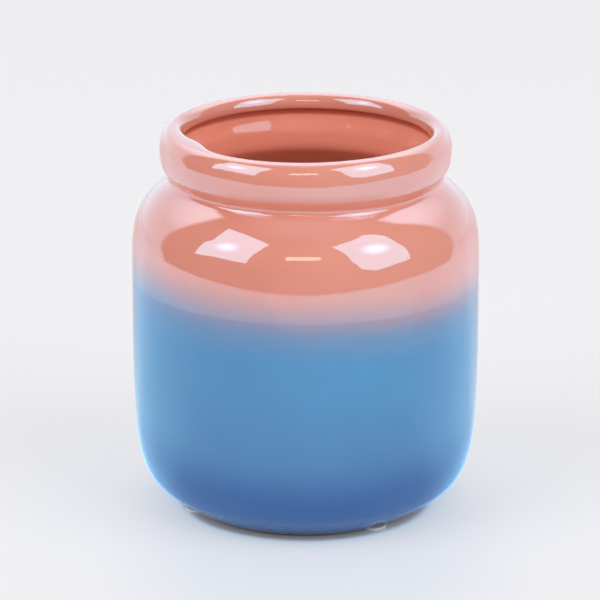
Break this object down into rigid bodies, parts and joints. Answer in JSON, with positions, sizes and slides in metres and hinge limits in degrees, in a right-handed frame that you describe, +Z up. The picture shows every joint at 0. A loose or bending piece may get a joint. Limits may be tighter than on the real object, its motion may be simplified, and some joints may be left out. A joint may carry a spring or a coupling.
{
  "type": "ceramic vase",
  "caption": "Squat glazed ceramic vase with a rolled rim, coral at the top and blending to blue at the foot, standing on clear stick-on pads.",
  "frame": {"origin": "on the table, under the middle of the foot ring; z = 0 is the underside of the clear pads", "axes": "+Z up along the axis that the vase is turned about; the picture looks along +Y with +X to the right"},
  "size_m": [0.1424, 0.1424, 0.16],
  "materials": {
    "bare_clay": "unglazed biscuit, sponged smooth, matt",
    "coral_glaze": "gloss",
    "sky_blue_glaze": "gloss",
    "deep_blue_glaze": "gloss",
    "clear_pad": "clear soft plastic, satin"
  },
  "bodies": {
    "root": {"clay_body": "bare_clay", "liner_glaze": "coral_glaze", "coral_glaze": "coral_glaze", "sky_blue_glaze": "sky_blue_glaze", "deep_blue_glaze": "deep_blue_glaze", "foot_pad_right": "clear_pad", "foot_pad_left": "clear_pad", "foot_pad_back": "clear_pad"}
  },
  "joints": []
}
